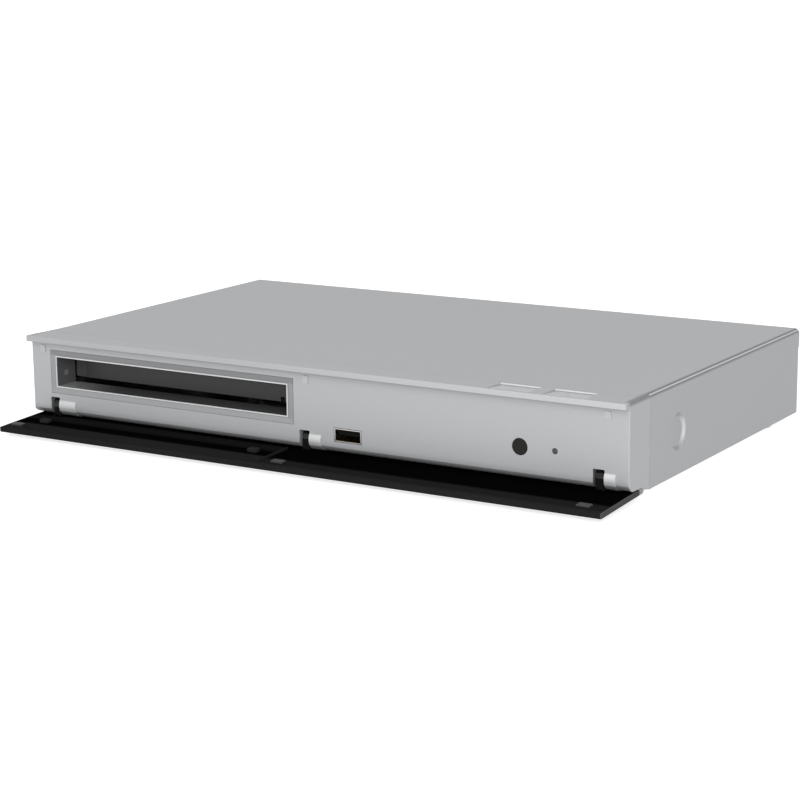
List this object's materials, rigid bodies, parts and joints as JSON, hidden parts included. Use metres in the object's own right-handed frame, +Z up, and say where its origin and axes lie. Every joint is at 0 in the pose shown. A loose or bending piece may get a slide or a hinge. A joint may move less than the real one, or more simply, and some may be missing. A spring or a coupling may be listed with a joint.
{
  "type": "blu-ray player",
  "caption": "Slim disc player with a fold-down front flap, a motor-driven disc tray, a USB socket, top buttons and a loader inside a sheet metal case.",
  "frame": {"origin": "middle of the footprint's box with the flap folded down, on the surface that the feet rest on", "axes": "+X along the width to the viewer's right, +Y from the front to the rear, +Z up"},
  "size_m": [0.32, 0.2162, 0.0452],
  "materials": {
    "front_panel": "satin silver moulding",
    "tray_surround": "grey bevelled strips, bright rim and silver tunnel",
    "flap_hinge_pins": "bright steel",
    "panel_bumpers": "light grey elastomer",
    "top_cover": "silver powder coat, fine texture",
    "bottom_chassis": "zinc plated sheet",
    "rear_panel": "zinc plated sheet",
    "feet": "light grey moulding",
    "cover_screws": "nickel plated",
    "panel_screws": "zinc plated",
    "board_screws": "zinc plated",
    "button_switches": "black with steel top",
    "receiver_window": "dark red translucent",
    "status_light_guide": "clear plastic",
    "front_board": "green circuit board",
    "remote_receiver": "black",
    "status_led": "clear lamp",
    "usb_shell": "nickel plated shell",
    "usb_insert": "black",
    "main_board": "green circuit board",
    "main_chip": "black package",
    "heat_sink": "extruded",
    "hdmi_socket": "nickel plated shell",
    "lan_socket": "shielded body",
    "optical_socket": "black",
    "power_board": "tan circuit board",
    "transformer": "taped winding and ferrite core",
    "capacitors": "sleeved cans",
    "insulator_sheet": "thin film",
    "mains_inlet": "black moulding",
    "mains_pins": "plated pins",
    "front_cable": "flat white cable",
    "loader_cable": "flat white cable",
    "cable_plugs": "white connectors",
    "power_harness": "insulated wires",
    "loader_frame": "black moulding",
    "loader_screws": "zinc plated",
    "drive_belt": "black rubber",
    "loading_motor": "plated can",
    "traverse_pins": "bright steel",
    "clamper_bridge": "pressed sheet",
    "front_flap": "black, satin and gloss",
    "flap_bumpers": "grey elastomer",
    "power_button": "satin silver moulding",
    "open_button": "satin silver moulding",
    "tray": "dark grey moulding",
    "tray_gear": "natural acetal",
    "pulley_gear": "natural acetal",
    "motor_pulley": "black acetal",
    "cam_slider": "natural acetal",
    "traverse_frame": "pressed and plated",
    "spindle_motor": "plated can",
    "guide_rods": "ground rods",
    "feed_motor": "plated can",
    "turntable": "black with rubber ring",
    "clamper": "black with magnet",
    "pickup_sled": "dark moulding",
    "objective_lens": "lens in a dark holder",
    "lead_screw": "rolled screw"
  },
  "bodies": {
    "case": {"front_panel": "front_panel", "tray_surround": "tray_surround", "flap_hinge_pins": "flap_hinge_pins", "panel_bumpers": "panel_bumpers", "top_cover": "top_cover", "bottom_chassis": "bottom_chassis", "rear_panel": "rear_panel", "feet": "feet", "cover_screws": "cover_screws", "panel_screws": "panel_screws", "board_screws": "board_screws", "button_switches": "button_switches", "receiver_window": "receiver_window", "status_light_guide": "status_light_guide", "front_board": "front_board", "remote_receiver": "remote_receiver", "status_led": "status_led", "usb_shell": "usb_shell", "usb_insert": "usb_insert", "main_board": "main_board", "main_chip": "main_chip", "heat_sink": "heat_sink", "hdmi_socket": "hdmi_socket", "lan_socket": "lan_socket", "optical_socket": "optical_socket", "power_board": "power_board", "transformer": "transformer", "capacitors": "capacitors", "insulator_sheet": "insulator_sheet", "mains_inlet": "mains_inlet", "mains_pins": "mains_pins", "front_cable": "front_cable", "loader_cable": "loader_cable", "cable_plugs": "cable_plugs", "power_harness": "power_harness", "loader_frame": "loader_frame", "loader_screws": "loader_screws", "drive_belt": "drive_belt", "loading_motor": "loading_motor", "traverse_pins": "traverse_pins", "clamper_bridge": "clamper_bridge"},
    "flap": {"front_flap": "front_flap", "flap_bumpers": "flap_bumpers"},
    "power_key": {"power_button": "power_button"},
    "open_key": {"open_button": "open_button"},
    "disc_tray": {"tray": "tray"},
    "tray_wheel": {"tray_gear": "tray_gear"},
    "belt_wheel": {"pulley_gear": "pulley_gear"},
    "motor_wheel": {"motor_pulley": "motor_pulley"},
    "lift_slider": {"cam_slider": "cam_slider"},
    "traverse": {"traverse_frame": "traverse_frame", "spindle_motor": "spindle_motor", "guide_rods": "guide_rods", "feed_motor": "feed_motor"},
    "spindle": {"turntable": "turntable"},
    "disc_clamp": {"clamper": "clamper"},
    "sled": {"pickup_sled": "pickup_sled"},
    "lens": {"objective_lens": "objective_lens"},
    "feed_screw": {"lead_screw": "lead_screw"}
  },
  "joints": [
    {"name": "flap_hinge", "type": "hinge", "parent": "case", "child": "flap", "pos_m": [0, -0.07784, 0.01134], "axis": [-1, 0, 0], "range_deg": [0, 92.6]},
    {"name": "power_press", "type": "slide", "parent": "case", "child": "power_key", "axis": [0, 0, -1], "range_m": [0, 0.0006], "stiffness_N_per_m": 1500, "springref_m": -0.0003},
    {"name": "open_press", "type": "slide", "parent": "case", "child": "open_key", "axis": [0, 0, -1], "range_m": [0, 0.0006], "stiffness_N_per_m": 1500, "springref_m": -0.0003},
    {"name": "tray_slide", "type": "slide", "parent": "case", "child": "disc_tray", "axis": [0, 1, 0], "range_m": [-0.136, 0]},
    {"name": "tray_gear_spin", "type": "hinge", "parent": "case", "child": "tray_wheel", "pos_m": [-0.03111, -0.0475, 0.02], "axis": [0, 0, 1], "range_deg": [-871, 5]},
    {"name": "pulley_spin", "type": "hinge", "parent": "case", "child": "belt_wheel", "pos_m": [-0.05037, -0.0475, 0.02], "axis": [0, 0, 1], "range_deg": [-5, 2603]},
    {"name": "motor_pulley_spin", "type": "hinge", "parent": "case", "child": "motor_wheel", "pos_m": [-0.08437, -0.0475, 0.025], "axis": [0, 0, 1], "range_deg": [-5, 6435]},
    {"name": "traverse_lift", "type": "hinge", "parent": "case", "child": "traverse", "pos_m": [-0.0777, 0.082, 0.012], "axis": [-1, 0, 0], "range_deg": [0, 5]},
    {"name": "cam_slide", "type": "slide", "parent": "case", "child": "lift_slider", "axis": [1, 0, 0], "range_m": [-0.0002, 0.0162]},
    {"name": "disc_spin", "type": "hinge", "parent": "traverse", "child": "spindle", "pos_m": [-0.0777, -0.00286, 0.02164], "axis": [0, -0.0872, 0.9962], "continuous": true},
    {"name": "clamper_spin", "type": "hinge", "parent": "case", "child": "disc_clamp", "pos_m": [-0.0777, -0.0017, 0.035], "axis": [0, 0, 1], "continuous": true},
    {"name": "sled_slide", "type": "slide", "parent": "traverse", "child": "sled", "axis": [0, 0.9962, 0.0872], "range_m": [0, 0.034]},
    {"name": "lead_screw_spin", "type": "hinge", "parent": "traverse", "child": "feed_screw", "pos_m": [-0.0397, 0.04388, 0.01168], "axis": [0, 0.9962, 0.0872], "range_deg": [-5, 4085]},
    {"name": "lens_focus", "type": "slide", "parent": "sled", "child": "lens", "axis": [0, -0.0872, 0.9962], "range_m": [-0.0004, 0.0004], "stiffness_N_per_m": 40}
  ],
  "couplings": [
    {"joint": "tray_gear_spin", "follows": "tray_slide", "rad_per_m": 111.11},
    {"joint": "pulley_spin", "follows": "tray_slide", "rad_per_m": -333.33},
    {"joint": "motor_pulley_spin", "follows": "tray_slide", "rad_per_m": -825.14},
    {"joint": "cam_slide", "follows": "traverse_lift", "m_per_rad": 0.18335},
    {"joint": "clamper_spin", "follows": "disc_spin", "ratio": 1},
    {"joint": "lead_screw_spin", "follows": "sled_slide", "rad_per_m": 2094.4}
  ]
}
